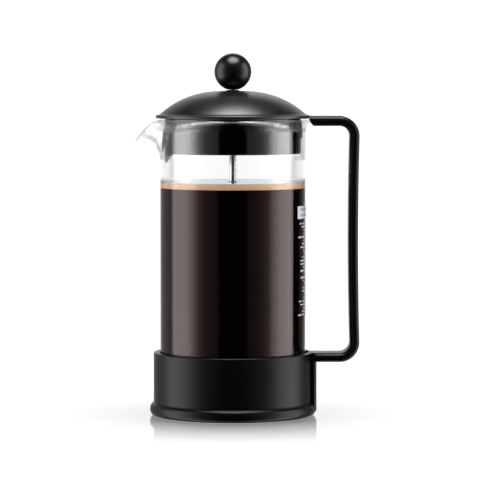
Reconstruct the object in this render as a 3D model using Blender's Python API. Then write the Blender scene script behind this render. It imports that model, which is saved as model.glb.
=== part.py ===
"""French press: a glass beaker in a moulded base with a strap handle, a turning lid and a plunger.

Frame: metres, +Z up. The origin is on the beaker's axis, on the plane that the press stands on.
The handle lies towards +X and the pouring beak towards -X.
Sizes below are in millimetres, and every mesh is scaled to metres when it is made.
"""
import math

import bmesh
import bpy
from mathutils import Matrix, Vector

MM = 0.001
MERGE = 0.00001
SEGMENTS = 48            # round the beaker's axis: all large turned pieces share these facets
FINE_SEGMENTS = 24       # round the rod's small pieces
GAP = 0.3                # left between pieces that touch

# Beaker
BEAKER_RADIUS = 48.0
BEAKER_WALL = 1.9
BEAKER_BOTTOM = 16.0
BEAKER_CORNER = 8.0
BEAKER_MID_HEIGHTS = (75.0, 125.0)
BEAK_HALF_ANGLE = 27.0   # of its open top, either side of -X
BEAK_ROOT_HALF_ANGLE = 15.0
BEAK_DROOP = 1.75        # how much later the rim dips than it reaches out
# The beaker's outer wall above its straight part, and the same points on the beak's middle line.
RIM_OUTLINE = [(48.0, 162.0), (48.0, 167.0), (48.0, 170.5), (48.0, 174.0), (48.0, 177.5),
               (48.0, 181.5), (48.0, 186.0), (48.5, 189.1), (49.6, 191.8), (51.5, 193.9)]
BEAK_OUTLINE = [(48.0, 162.0), (48.0, 167.0), (48.2, 170.5), (49.3, 174.0), (51.6, 177.5),
                (55.2, 180.9), (58.6, 182.2), (60.9, 182.0), (62.6, 181.2), (63.7, 180.0)]
FIRST_BEAK_POINT = 2     # of the outlines: below it the beak is plain wall

# Base
BASE_RADIUS = 52.4
BASE_INNER_RADIUS = 49.4
BASE_LIP_RADIUS, BASE_LIP_LOW = 48.5, 39.0       # the rim's inward lip, which centres the beaker
BASE_HEIGHT = 41.5
BASE_EDGE = 0.6          # chamfers of the rim, and draft of the inner walls
BASE_FOOT_RADIUS = 53.0
BASE_DECK_LOW, BASE_DECK_TOP = 12.5, 15.7
BASE_DECK_CORNER = (47.8, 17.6)                  # where the fillet meets the deck and the wall
BASE_HUB_RADIUS = 9.0
BASE_RIB_THICKNESS, BASE_RIB_LOW, BASE_RIB_TOP = 2.4, 3.0, 14.0
BEAD_CENTRE = (52.6, 4.0)
BEAD_REACH = (2.3, 3.8)
GROOVE_DEPTH, GROOVE_LOW, GROOVE_TOP = 0.3, 8.1, 8.8
SLOT_INNER_X, SLOT_OUTER_X = 47.8, 53.4
SLOT_HALF_WIDTH = 6.3    # the dovetail slot at the wall's outer face
SLOT_FLARE = 0.4         # widening of the slot per millimetre inwards
SLOT_FLOOR = 5.7
RECESS_OUTER_RADIUS = 58.0
CUT_ABOVE = 3.0          # how far cutters reach past the face they open

# Handle
STRAP_WIDTH = 23.0
STRAP_EDGE = 2.9         # rounding of the strap's long edges
ARM_TOP_THICKNESS, ARM_LOW_THICKNESS = 6.6, 6.0
ARM_TOP_HEIGHT, ARM_LOW_HEIGHT = 194.3, 38.5     # centre lines
GRIP_TOP_X, GRIP_LOW_X = 80.1, 80.3
GRIP_BOW = 0.95          # the grip's middle leans this much towards the beaker
CORNER_RADIUS = 9.9
ARM_TOP_END, ARM_LOW_END = 50.2, 54.0
ARM_BEND_X = 60.0        # the arms are straight up to here
FOOT_INNER_RADIUS, FOOT_OUTER_RADIUS = 52.75, 55.4
FOOT_HALF_ANGLE = 10.0
FOOT_EDGE = 2.2          # rounding of the foot plate's outer edges
FOOT_LOW = 3.0
KEY_INNER_X, KEY_OUTER_X = 49.75, 54.0
KEY_DROP = 0.2           # the key's top below the foot's top
# The clip's mouth: the rim of the beaker and of the lid with clearance, as (radius, height).
CLIP_MOUTH = [(0.0, 187.0), (56.3, 187.0), (53.6, 191.5), (51.9, 194.2), (51.9, 195.65),
              (51.35, 195.65), (51.35, 200.0), (0.0, 200.0)]

# Lid
LID_RADIUS = 51.0
LID_RIM_LOW, LID_RIM_EDGE = 195.9, 1.2           # underside of the rim, and rounding of its edge
LID_RIM_CREASE = [(48.9, 198.4), (48.25, 198.65)]    # from the flat rim into the dome
DOME_RADIUS, DOME_LOW, DOME_RISE, DOME_FULLNESS = 48.0, 198.9, 15.3, 2.75
HOLLOW_RADIUS, HOLLOW_LOW, HOLLOW_RISE, HOLLOW_FULLNESS = 45.9, 198.1, 13.9, 3.0
SOCKET_RADIUS = 45.6     # the rim's inner wall, which the strainer's skirt stands in
DOME_RADII = (47.6, 46.6, 45.0, 42.0, 38.5, 34.0, 28.0, 21.0, 13.0)
HOLLOW_RADII = (16.0, 25.0, 32.0, 37.5, 41.5, 44.3)
LID_HOLE_RADIUS = 4.4
SKIRT_RADIUS, SKIRT_WALL = 45.0, 1.6
SKIRT_LOW, SKIRT_TOP = 172.8, 197.2
# The strainer's web and hub, as (radius, height): over the top, and along the underside.
WEB_TOP = [(44.0, 197.8), (9.0, 201.5), (7.9, 202.4)]
WEB_UNDER = [(9.0, 199.7), (42.8, 196.1), (43.4, 195.5)]
HUB_RADIUS, HUB_LOW = 7.5, 199.8
TONGUE_HALF_ANGLE, TONGUE_DROP = 34.0, 6.2
STRAINER_SLOTS = 11
STRAINER_SLOT_WIDTH = 1.8
STRAINER_SLOT_PITCH = 5.2                        # degrees
STRAINER_SLOT_LOW, STRAINER_SLOT_TOP = 173.3, 191.0
STRAINER_SLOT_INNER, STRAINER_SLOT_OUTER = 42.0, 47.0
PAD_INNER_RADIUS, PAD_RADIUS, PAD_HALF_ANGLE = 44.2, 45.8, 11.0
PAD_LOW, PAD_TOP = 183.0, 194.5

# Bush, rod and knob
BUSH_RADIUS, BUSH_BORE = 4.0, 2.5
BUSH_LOW, BUSH_TOP = 198.5, 214.7
BUSH_FLANGE_RADIUS, BUSH_FLANGE_LOW, BUSH_FLANGE_TOP = 7.2, 210.2, 211.5
ROD_RADIUS, THREAD_RADIUS = 2.2, 1.7
ROD_LOW, ROD_SHOULDER_LOW = 21.0, 28.2
ROD_SHOULDER_TOP, ROD_TOP = 217.2, 226.2
KNOB_RADIUS, KNOB_CENTRE, KNOB_FLAT = 12.2, 226.6, 215.0
KNOB_BORE, KNOB_BORE_TOP = 3.0, 228.0
INSERT_RADIUS, INSERT_LOW, INSERT_TOP = 2.7, 217.5, 227.6

# Filter pack
PLATE_HOLE_RADIUS = 2.0
NUT_RADIUS, NUT_LOW, NUT_TOP = 5.0, 20.4, 24.7
CROSS_RADIUS, CROSS_LOW, CROSS_TOP = 38.0, 25.0, 26.0
CROSS_HOLES = [(25.0, 9.5, 6)]                   # rows of holes: ring radius, hole radius, count
MESH_RADIUS, MESH_LOW, MESH_THICKNESS, MESH_TOP = 45.8, 26.3, 0.5, 31.0
MESH_CORNER = 1.2        # of the screen's turned-up edge
SPIRAL_RADIUS, SPIRAL_LOW, SPIRAL_TOP, SPIRAL_LIP_TOP = 41.0, 27.2, 28.0, 30.5
SPIRAL_HOLES = [(31.0, 4.0, 16), (18.0, 3.4, 9)]
SPRING_RING_RADIUS, SPRING_COIL_RADIUS, SPRING_HEIGHT = 43.2, 1.75, 29.3
COLLAR_RADIUS, COLLAR_LOW, COLLAR_TOP = 6.5, 28.3, 29.9


def clear_scene():
    """Remove everything that is already in the file."""
    for obj in list(bpy.data.objects):
        bpy.data.objects.remove(obj, do_unlink=True)


def finish(name, colour, roughness, metallic=0.0, transmission=0.0):
    """A Principled material."""
    material = bpy.data.materials.new(name)
    material.use_nodes = True
    shader = material.node_tree.nodes["Principled BSDF"]
    shader.inputs["Base Color"].default_value = (*colour, 1.0)
    shader.inputs["Roughness"].default_value = roughness
    shader.inputs["Metallic"].default_value = metallic
    shader.inputs["Transmission Weight"].default_value = transmission
    return material


def make(name, bm, material=None, closed=True):
    """Turn a bmesh in millimetres into a named object in metres, with its faces pointing out."""
    bmesh.ops.scale(bm, vec=(MM, MM, MM), verts=bm.verts)
    bmesh.ops.remove_doubles(bm, verts=bm.verts, dist=MERGE)
    if closed:
        bmesh.ops.recalc_face_normals(bm, faces=bm.faces)
    mesh = bpy.data.meshes.new(name)
    bm.to_mesh(mesh)
    bm.free()
    mesh.shade_smooth()
    mesh.set_sharp_from_angle(angle=math.radians(35.0))
    obj = bpy.data.objects.new(name, mesh)
    bpy.context.collection.objects.link(obj)
    if material:
        mesh.materials.append(material)
    return obj


def arc(centre, reach, start, end, steps):
    """Points along an elliptic arc in the outline plane; angles in degrees."""
    points = []
    for i in range(steps + 1):
        angle = math.radians(start + (end - start) * i / steps)
        points.append((centre[0] + reach[0] * math.cos(angle), centre[1] + reach[1] * math.sin(angle)))
    return points


def turned(name, outline, material=None, segments=SEGMENTS):
    """Spin a closed outline of (radius, height) points round Z."""
    bm = bmesh.new()
    verts = [bm.verts.new((radius, 0.0, height)) for radius, height in outline]
    edges = []
    for first, second in zip(verts, verts[1:] + verts[:1]):
        if first.co.x > MERGE or second.co.x > MERGE:
            edges.append(bm.edges.new((first, second)))
    bmesh.ops.spin(bm, geom=verts + edges, cent=(0, 0, 0), axis=(0, 0, 1), dvec=(0, 0, 0),
                   angle=math.tau, steps=segments, use_merge=True)
    return make(name, bm, material)


def lofted(rings, caps=False, closed=True):
    """Join rings of points with faces that point outwards; the last ring joins the first unless capped."""
    bm = bmesh.new()
    rows = [[bm.verts.new(point) for point in ring] for ring in rings]
    pairs = list(zip(rows, rows[1:]))
    if not caps:
        pairs.append((rows[-1], rows[0]))
    for row, following in pairs:
        count = len(row) if closed else len(row) - 1
        for i in range(count):
            j = (i + 1) % len(row)
            bm.faces.new((row[i], following[i], following[j], row[j]))
    if caps:
        bm.faces.new(rows[0])
        bm.faces.new(rows[-1])
    return bm


def around(outline_at, angles):
    """Rings of points for an outline that changes with the angle round Z, in degrees."""
    rings = []
    for degrees in angles:
        cosine, sine = math.cos(math.radians(degrees)), math.sin(math.radians(degrees))
        rings.append([(radius * cosine, radius * sine, height) for radius, height in outline_at(degrees)])
    return rings


def combine(target, tool, operation):
    """Boolean with the exact solver; the tool stays as a hidden guide."""
    modifier = target.modifiers.new(tool.name, "BOOLEAN")
    modifier.operation = operation
    modifier.solver = "EXACT"
    modifier.object = tool
    tool.hide_render = True
    tool.display_type = "WIRE"


def arc_block(name, inner, outer, half_angle, low, high, centre=0.0, steps=6):
    """A block between two radii and two heights, as wide as the angle says."""
    angles = [centre - half_angle + 2.0 * half_angle * i / steps for i in range(steps + 1)]
    outline = [(inner, low), (outer, low), (outer, high), (inner, high)]
    return make(name, lofted(around(lambda degrees: outline, angles), caps=True))


def dovetail(name, inner, outer, half_width, low, high):
    """A block at the handle's side of the base that widens towards the axis."""
    corners = []
    for x, side in ((inner, -1), (outer, -1), (outer, 1), (inner, 1)):
        corners.append((x, side * (half_width + (BASE_RADIUS - x) * SLOT_FLARE)))
    return make(name, lofted([[(x, y, height) for x, y in corners] for height in (low, high)], caps=True))


def curved_plate(name, inner, outer, half_angle, edge, low, high, steps=6):
    """A plate that follows the base's wall, its upright outer edges rounded."""
    half = math.radians(half_angle) * outer
    flat = [(inner, half - 2.0 * half * i / steps) for i in range(steps + 1)]
    flat += arc((outer - edge, edge - half), (edge, edge), -90.0, 0.0, 3)
    straight = half - edge
    flat += [(outer, -straight + 2.0 * straight * i / steps) for i in range(1, steps)]
    flat += arc((outer - edge, half - edge), (edge, edge), 0.0, 90.0, 3)
    seen = [(radius * math.cos(along / outer), radius * math.sin(along / outer)) for radius, along in flat]
    return make(name, lofted([[(x, y, height) for x, y in seen] for height in (low, high)], caps=True))


def add_box(bm, low, high, turn=0.0):
    """Add a box, turned about Z by an angle in degrees."""
    size = Vector(high) - Vector(low)
    middle = (Vector(high) + Vector(low)) / 2.0
    turned_round = Matrix.Rotation(math.radians(turn), 4, "Z")
    sized = Matrix.Translation(middle) @ Matrix.Diagonal((*size, 1.0))
    bmesh.ops.create_cube(bm, size=1.0, matrix=turned_round @ sized)


def angle_from_beak(degrees):
    """How far an angle round Z lies from the beak's direction, -X."""
    return abs(degrees % 360.0 - 180.0)


def bell(distance, half_width):
    """1 at the middle, falling smoothly to 0 at the half width."""
    if distance >= half_width:
        return 0.0
    return 0.5 + 0.5 * math.cos(math.pi * distance / half_width)


def beaker_outline(degrees):
    """The beaker's outer surface from its bottom centre to its lip, at one angle."""
    corner = (BEAKER_RADIUS - BEAKER_CORNER, BEAKER_BOTTOM + BEAKER_CORNER)
    points = [(0.0, BEAKER_BOTTOM), (0.5 * BEAKER_RADIUS, BEAKER_BOTTOM)]
    points += arc(corner, (BEAKER_CORNER, BEAKER_CORNER), -90.0, 0.0, 4)
    points += [(BEAKER_RADIUS, height) for height in BEAKER_MID_HEIGHTS]
    distance = angle_from_beak(degrees)
    last = len(RIM_OUTLINE) - 1
    for i, (plain, beak) in enumerate(zip(RIM_OUTLINE, BEAK_OUTLINE)):
        climb = max(0.0, (i - FIRST_BEAK_POINT) / (last - FIRST_BEAK_POINT))
        half_width = BEAK_ROOT_HALF_ANGLE + (BEAK_HALF_ANGLE - BEAK_ROOT_HALF_ANGLE) * climb
        weight = bell(distance, half_width)
        radius = plain[0] + (beak[0] - plain[0]) * weight
        height = plain[1] + (beak[1] - plain[1]) * weight ** BEAK_DROOP
        points.append((radius, height))
    return points


def make_beaker(material):
    """The blown glass beaker, its wall given inwards from the outer surface."""
    step = 360.0 / SEGMENTS
    angles = []
    for i in range(SEGMENTS):
        angles.append(i * step)
        if angle_from_beak((i + 0.5) * step) < BEAK_HALF_ANGLE + step:
            angles.append((i + 0.5) * step)
    surface = lofted(around(beaker_outline, angles), closed=False)
    obj = make("glass_beaker", surface, material, closed=False)
    wall = obj.modifiers.new("wall", "SOLIDIFY")
    wall.thickness = BEAKER_WALL * MM
    wall.offset = -1.0
    wall.use_even_offset = True
    return obj


def make_base(material):
    """The cup that the beaker stands in, ribbed underneath, with a dovetail slot for the handle."""
    outline = [(0.0, 0.0), (BASE_HUB_RADIUS, 0.0), (BASE_HUB_RADIUS + BASE_EDGE, BASE_DECK_LOW)]
    outline += [(BASE_INNER_RADIUS, BASE_DECK_LOW), (BASE_INNER_RADIUS + BASE_EDGE, 0.0)]
    outline += [(BASE_FOOT_RADIUS, 0.0)]
    outline += arc(BEAD_CENTRE, BEAD_REACH, -70.0, 75.0, 7)
    outline += [(BASE_RADIUS - GROOVE_DEPTH, GROOVE_LOW), (BASE_RADIUS, GROOVE_TOP)]
    outline += [(BASE_RADIUS, BASE_HEIGHT - BASE_EDGE), (BASE_RADIUS - BASE_EDGE, BASE_HEIGHT)]
    outline += [(BASE_LIP_RADIUS + BASE_EDGE, BASE_HEIGHT), (BASE_LIP_RADIUS, BASE_HEIGHT - BASE_EDGE)]
    outline += [(BASE_LIP_RADIUS, BASE_LIP_LOW), (BASE_INNER_RADIUS, BASE_LIP_LOW - BASE_EDGE)]
    outline += [(BASE_INNER_RADIUS, BASE_DECK_CORNER[1]), (BASE_DECK_CORNER[0], BASE_DECK_TOP)]
    outline += [(0.0, BASE_DECK_TOP)]
    base = turned("base_holder", outline, material)

    ribs = bmesh.new()
    half = BASE_RIB_THICKNESS / 2.0
    inner, outer = BASE_HUB_RADIUS - 1.0, BASE_INNER_RADIUS + 1.2
    for turn in (0.0, 90.0, 180.0, 270.0):
        add_box(ribs, (inner, -half, BASE_RIB_LOW), (outer, half, BASE_RIB_TOP), turn)
    combine(base, make("base_ribs", ribs), "UNION")

    top = BASE_HEIGHT + CUT_ABOVE
    slot = dovetail("base_slot", SLOT_INNER_X, SLOT_OUTER_X, SLOT_HALF_WIDTH, SLOT_FLOOR, top)
    combine(base, slot, "DIFFERENCE")

    inner, outer = BASE_RADIUS + 0.02, RECESS_OUTER_RADIUS
    recess_angle = FOOT_HALF_ANGLE + math.degrees(GAP / FOOT_OUTER_RADIUS)
    recess = arc_block("base_recess", inner, outer, recess_angle, FOOT_LOW - GAP, top)
    combine(base, recess, "DIFFERENCE")
    return base


def strap_path():
    """Centre line of the handle's strap from the clip to the foot: points (x, z), and its thickness."""
    points = [(ARM_TOP_END, ARM_TOP_HEIGHT), (ARM_BEND_X, ARM_TOP_HEIGHT)]
    corner = (GRIP_TOP_X - CORNER_RADIUS, ARM_TOP_HEIGHT - CORNER_RADIUS)
    points += arc(corner, (CORNER_RADIUS, CORNER_RADIUS), 90.0, 0.0, 6)
    low, high = ARM_LOW_HEIGHT + CORNER_RADIUS, ARM_TOP_HEIGHT - CORNER_RADIUS
    for i in range(1, 8):
        along = i / 8.0
        lean = GRIP_BOW * 4.0 * along * (1.0 - along)
        x = GRIP_TOP_X + (GRIP_LOW_X - GRIP_TOP_X) * along - lean
        points.append((x, high + (low - high) * along))
    corner = (GRIP_LOW_X - CORNER_RADIUS, ARM_LOW_HEIGHT + CORNER_RADIUS)
    points += arc(corner, (CORNER_RADIUS, CORNER_RADIUS), 0.0, -90.0, 6)
    points += [(ARM_BEND_X, ARM_LOW_HEIGHT), (ARM_LOW_END, ARM_LOW_HEIGHT)]
    return points


def strap_section(thickness):
    """Rounded rectangle: points (across the strap's thickness, along Y)."""
    half, side = thickness / 2.0, STRAP_WIDTH / 2.0
    reach = (STRAP_EDGE, STRAP_EDGE)
    points = arc((half - STRAP_EDGE, side - STRAP_EDGE), reach, 0.0, 90.0, 3)
    points += arc((STRAP_EDGE - half, side - STRAP_EDGE), reach, 90.0, 180.0, 3)
    points += arc((STRAP_EDGE - half, STRAP_EDGE - side), reach, 180.0, 270.0, 3)
    points += arc((half - STRAP_EDGE, STRAP_EDGE - side), reach, 270.0, 360.0, 3)
    return points


def make_handle(material):
    """The moulded strap handle, with a clip round the beaker's rim and a foot keyed into the base."""
    path = strap_path()
    rings = []
    for i, (x, z) in enumerate(path):
        before, after = path[max(i - 1, 0)], path[min(i + 1, len(path) - 1)]
        along = Vector((after[0] - before[0], after[1] - before[1])).normalized()
        outward = Vector((-along.y, along.x))
        share = i / (len(path) - 1)
        thickness = ARM_TOP_THICKNESS + (ARM_LOW_THICKNESS - ARM_TOP_THICKNESS) * share
        rings.append([(x + outward.x * u, v, z + outward.y * u) for u, v in strap_section(thickness)])
    handle = make("handle", lofted(rings, caps=True), material)

    foot_top = ARM_LOW_HEIGHT + ARM_LOW_THICKNESS / 2.0
    foot = curved_plate("handle_foot", FOOT_INNER_RADIUS, FOOT_OUTER_RADIUS, FOOT_HALF_ANGLE, FOOT_EDGE,
                        FOOT_LOW, foot_top)
    combine(handle, foot, "UNION")
    key = dovetail("handle_key", KEY_INNER_X, KEY_OUTER_X, SLOT_HALF_WIDTH - GAP, SLOT_FLOOR + GAP,
                   foot_top - KEY_DROP)
    combine(handle, key, "UNION")
    combine(handle, turned("handle_mouth", CLIP_MOUTH), "DIFFERENCE")
    return handle


def dome_height(radius, widest, low, rise, fullness):
    """Height of the lid's dome over a radius: a cap that is flatter on top the fuller it is."""
    return low + rise * (1.0 - (radius / widest) ** fullness)


def make_lid_dome(material):
    """The lid's outer shell: a domed cap on a flat rim, with a hole for the bush."""
    outline = [(SOCKET_RADIUS, LID_RIM_LOW), (LID_RADIUS - 0.75 * LID_RIM_EDGE, LID_RIM_LOW)]
    edge_centre = (LID_RADIUS - LID_RIM_EDGE, LID_RIM_LOW + LID_RIM_EDGE)
    outline += arc(edge_centre, (LID_RIM_EDGE, LID_RIM_EDGE), -60.0, 90.0, 4) + LID_RIM_CREASE
    for radius in DOME_RADII + (LID_HOLE_RADIUS,):
        height = dome_height(radius, DOME_RADIUS, DOME_LOW, DOME_RISE, DOME_FULLNESS)
        outline.append((radius, height))
    for radius in (LID_HOLE_RADIUS,) + HOLLOW_RADII + (SOCKET_RADIUS,):
        height = dome_height(radius, HOLLOW_RADIUS, HOLLOW_LOW, HOLLOW_RISE, HOLLOW_FULLNESS)
        outline.append((radius, height))
    return turned("lid_dome", outline, material)


def strainer_outline(degrees):
    """The strainer insert's section: its skirt reaches lower as a tongue under the beak."""
    low = SKIRT_LOW - TONGUE_DROP * bell(angle_from_beak(degrees), TONGUE_HALF_ANGLE)
    hub_top = BUSH_FLANGE_LOW - GAP
    outline = [(SKIRT_RADIUS, low), (SKIRT_RADIUS, SKIRT_TOP)] + WEB_TOP
    outline += [(HUB_RADIUS, hub_top), (LID_HOLE_RADIUS, hub_top), (LID_HOLE_RADIUS, HUB_LOW)]
    return outline + WEB_UNDER + [(SKIRT_RADIUS - SKIRT_WALL, low)]


def make_lid_strainer(material):
    """The lid's inner moulding: a skirt with pouring slots at the beak, on a web with a hub."""
    angles = [i * 360.0 / SEGMENTS for i in range(SEGMENTS)]
    strainer = make("lid_strainer", lofted(around(strainer_outline, angles)), material)

    slots = bmesh.new()
    half = STRAINER_SLOT_WIDTH / 2.0
    low = (STRAINER_SLOT_INNER, -half, STRAINER_SLOT_LOW)
    high = (STRAINER_SLOT_OUTER, half, STRAINER_SLOT_TOP)
    for i in range(STRAINER_SLOTS):
        add_box(slots, low, high, 180.0 + (i - (STRAINER_SLOTS - 1) / 2.0) * STRAINER_SLOT_PITCH)
    combine(strainer, make("strainer_slots", slots), "DIFFERENCE")

    pad = arc_block("strainer_pad", PAD_INNER_RADIUS, PAD_RADIUS, PAD_HALF_ANGLE, PAD_LOW, PAD_TOP)
    combine(strainer, pad, "UNION")
    return strainer


def make_bush(material):
    """The flanged sleeve that guides the rod, held between the lid's two mouldings."""
    outline = [(BUSH_BORE, BUSH_LOW), (BUSH_RADIUS, BUSH_LOW), (BUSH_RADIUS, BUSH_FLANGE_LOW),
               (BUSH_FLANGE_RADIUS, BUSH_FLANGE_LOW), (BUSH_FLANGE_RADIUS, BUSH_FLANGE_TOP),
               (BUSH_RADIUS, BUSH_FLANGE_TOP), (BUSH_RADIUS, BUSH_TOP), (BUSH_BORE, BUSH_TOP)]
    return turned("rod_bush", outline, material, FINE_SEGMENTS)


def make_knob(material):
    """The ball knob, flat underneath, with a blind bore for its threaded insert."""
    foot_angle = math.degrees(math.asin((KNOB_FLAT - KNOB_CENTRE) / KNOB_RADIUS))
    outline = [(0.0, KNOB_BORE_TOP), (KNOB_BORE, KNOB_BORE_TOP), (KNOB_BORE, KNOB_FLAT)]
    outline += arc((0.0, KNOB_CENTRE), (KNOB_RADIUS, KNOB_RADIUS), foot_angle, 90.0, 14)
    outline[-1] = (0.0, KNOB_CENTRE + KNOB_RADIUS)
    return turned("knob", outline, material, 32)


def make_knob_insert(material):
    """The threaded metal insert moulded into the knob."""
    bore = THREAD_RADIUS + GAP
    outline = [(0.0, ROD_TOP + GAP), (bore, ROD_TOP + GAP), (bore, INSERT_LOW), (INSERT_RADIUS, INSERT_LOW),
               (INSERT_RADIUS, INSERT_TOP), (0.0, INSERT_TOP)]
    return turned("knob_insert", outline, material, FINE_SEGMENTS)


def make_rod(material):
    """The plunger rod, necked down to a thread at each end."""
    outline = [(0.0, ROD_LOW), (THREAD_RADIUS, ROD_LOW), (THREAD_RADIUS, ROD_SHOULDER_LOW),
               (ROD_RADIUS, ROD_SHOULDER_LOW), (ROD_RADIUS, ROD_SHOULDER_TOP),
               (THREAD_RADIUS, ROD_SHOULDER_TOP), (THREAD_RADIUS, ROD_TOP), (0.0, ROD_TOP)]
    return turned("plunger_rod", outline, material, FINE_SEGMENTS)


def make_washer(name, inner, outer, low, high, material, segments=FINE_SEGMENTS):
    """A flat ring."""
    return turned(name, [(inner, low), (outer, low), (outer, high), (inner, high)], material, segments)


def hole_pattern(name, low, high, rows):
    """Upright round cutters in rings: each row is (ring radius, hole radius, count)."""
    bm = bmesh.new()
    middle, depth = (low + high) / 2.0, high - low + 4.0
    for ring_radius, hole_radius, count in rows:
        for i in range(count):
            turn = math.tau * (i + 0.5) / count
            place = Vector((ring_radius * math.cos(turn), ring_radius * math.sin(turn), middle))
            bmesh.ops.create_cone(bm, cap_ends=True, segments=12, radius1=hole_radius, radius2=hole_radius,
                                  depth=depth, matrix=Matrix.Translation(place))
    return make(name, bm)


def make_filter_pack(steel, spring_steel):
    """Cross plate with its nut, mesh screen, perforated plate with its rim spring, and the rod's collar."""
    pieces = []
    nut_bore = THREAD_RADIUS + GAP
    nut = make_washer("cross_plate_nut", nut_bore, NUT_RADIUS, NUT_LOW, NUT_TOP, steel, 6)
    pieces.append(nut)

    cross = make_washer("cross_plate", PLATE_HOLE_RADIUS, CROSS_RADIUS, CROSS_LOW, CROSS_TOP, steel,
                        SEGMENTS)
    combine(cross, hole_pattern("cross_holes", CROSS_LOW, CROSS_TOP, CROSS_HOLES), "DIFFERENCE")
    pieces.append(cross)

    floor_top, wall_inner = MESH_LOW + MESH_THICKNESS, MESH_RADIUS - MESH_THICKNESS
    outline = [(PLATE_HOLE_RADIUS, MESH_LOW), (MESH_RADIUS - MESH_CORNER, MESH_LOW),
               (MESH_RADIUS, MESH_LOW + MESH_CORNER), (MESH_RADIUS, MESH_TOP), (wall_inner, MESH_TOP),
               (wall_inner, MESH_LOW + MESH_CORNER), (MESH_RADIUS - MESH_CORNER, floor_top),
               (PLATE_HOLE_RADIUS, floor_top)]
    pieces.append(turned("filter_mesh", outline, steel))

    lip_inner = SPIRAL_RADIUS - (SPIRAL_TOP - SPIRAL_LOW)
    outline = [(PLATE_HOLE_RADIUS, SPIRAL_LOW), (SPIRAL_RADIUS, SPIRAL_LOW), (SPIRAL_RADIUS, SPIRAL_LIP_TOP),
               (lip_inner, SPIRAL_LIP_TOP), (lip_inner, SPIRAL_TOP), (PLATE_HOLE_RADIUS, SPIRAL_TOP)]
    spiral = turned("spiral_plate", outline, steel)
    combine(spiral, hole_pattern("spiral_holes", SPIRAL_LOW, SPIRAL_TOP, SPIRAL_HOLES), "DIFFERENCE")
    pieces.append(spiral)

    coil = arc((SPRING_RING_RADIUS, SPRING_HEIGHT), (SPRING_COIL_RADIUS, SPRING_COIL_RADIUS), 0.0, 315.0, 7)
    pieces.append(turned("rim_spring", coil, spring_steel))
    pieces.append(make_washer("rod_collar", ROD_RADIUS + GAP, COLLAR_RADIUS, COLLAR_LOW, COLLAR_TOP, steel))
    return pieces


def gather(name, pieces):
    """Parent pieces that move together to an empty on the press's axis."""
    group = bpy.data.objects.new(name, None)
    bpy.context.collection.objects.link(group)
    for piece in pieces:
        piece.parent = group


def main():
    """Build the press at rest: the lid on and the plunger down."""
    clear_scene()
    black = finish("black_plastic", (0.012, 0.012, 0.013), 0.32)
    lid_black = finish("lid_plastic", (0.014, 0.014, 0.015), 0.36)
    strainer_black = finish("strainer_plastic", (0.012, 0.012, 0.012), 0.15)
    knob_black = finish("knob_plastic", (0.012, 0.012, 0.013), 0.28)
    bush_black = finish("bush_plastic", (0.02, 0.02, 0.02), 0.45)
    glass = finish("clear_glass", (0.95, 0.97, 0.97), 0.02, transmission=1.0)
    steel = finish("stainless_steel", (0.62, 0.62, 0.63), 0.22, metallic=1.0)
    polished = finish("polished_steel", (0.72, 0.72, 0.73), 0.1, metallic=1.0)
    spring = finish("spring_steel", (0.55, 0.55, 0.56), 0.25, metallic=1.0)
    brass = finish("insert_brass", (0.75, 0.55, 0.25), 0.3, metallic=1.0)

    gather("stand", [make_beaker(glass), make_base(black), make_handle(black)])
    gather("lid", [make_lid_dome(lid_black), make_lid_strainer(strainer_black), make_bush(bush_black)])
    plunger = [make_knob(knob_black), make_knob_insert(brass), make_rod(polished)]
    gather("plunger", plunger + make_filter_pack(steel, spring))


main()
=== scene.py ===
# %% [markdown]
# # A french press
# This file dresses the press for its picture: a glass beaker full of coffee in a black moulded base,
# a strap handle, and a domed lid with a ball-knobbed plunger. The frame holds every piece's place and
# its joints. Each cell below makes one piece or one finish, and says why it is made that way.

# %% Load the fixed frame
import math

import bmesh
import bpy
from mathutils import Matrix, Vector


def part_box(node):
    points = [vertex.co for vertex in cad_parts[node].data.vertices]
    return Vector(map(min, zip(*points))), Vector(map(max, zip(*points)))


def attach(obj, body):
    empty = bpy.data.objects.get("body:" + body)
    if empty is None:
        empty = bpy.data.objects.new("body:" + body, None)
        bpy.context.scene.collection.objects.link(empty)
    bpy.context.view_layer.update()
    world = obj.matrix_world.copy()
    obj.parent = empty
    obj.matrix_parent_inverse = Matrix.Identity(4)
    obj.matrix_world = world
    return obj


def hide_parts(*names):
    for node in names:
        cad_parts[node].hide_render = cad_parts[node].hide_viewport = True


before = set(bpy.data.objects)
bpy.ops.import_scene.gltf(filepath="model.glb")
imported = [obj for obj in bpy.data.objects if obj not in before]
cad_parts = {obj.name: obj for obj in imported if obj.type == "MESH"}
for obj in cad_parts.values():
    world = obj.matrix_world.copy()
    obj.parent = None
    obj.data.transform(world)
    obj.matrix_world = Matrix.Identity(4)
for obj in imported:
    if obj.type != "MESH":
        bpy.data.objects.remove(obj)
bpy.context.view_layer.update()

MM = 0.001

# %% [markdown]
# ## Driving sizes
# The outlines below are written in millimetres, as (radius, height) from the beaker's axis and the
# table. Heights that the frame already knows are read from it, so the looks follow the solids.

# %% Sizes read from the frame
def reach(node):
    """Outer radius along Y, lowest and highest point of a CAD node, in millimetres."""
    low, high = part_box(node)
    return high.y / MM, low.z / MM, high.z / MM


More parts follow.
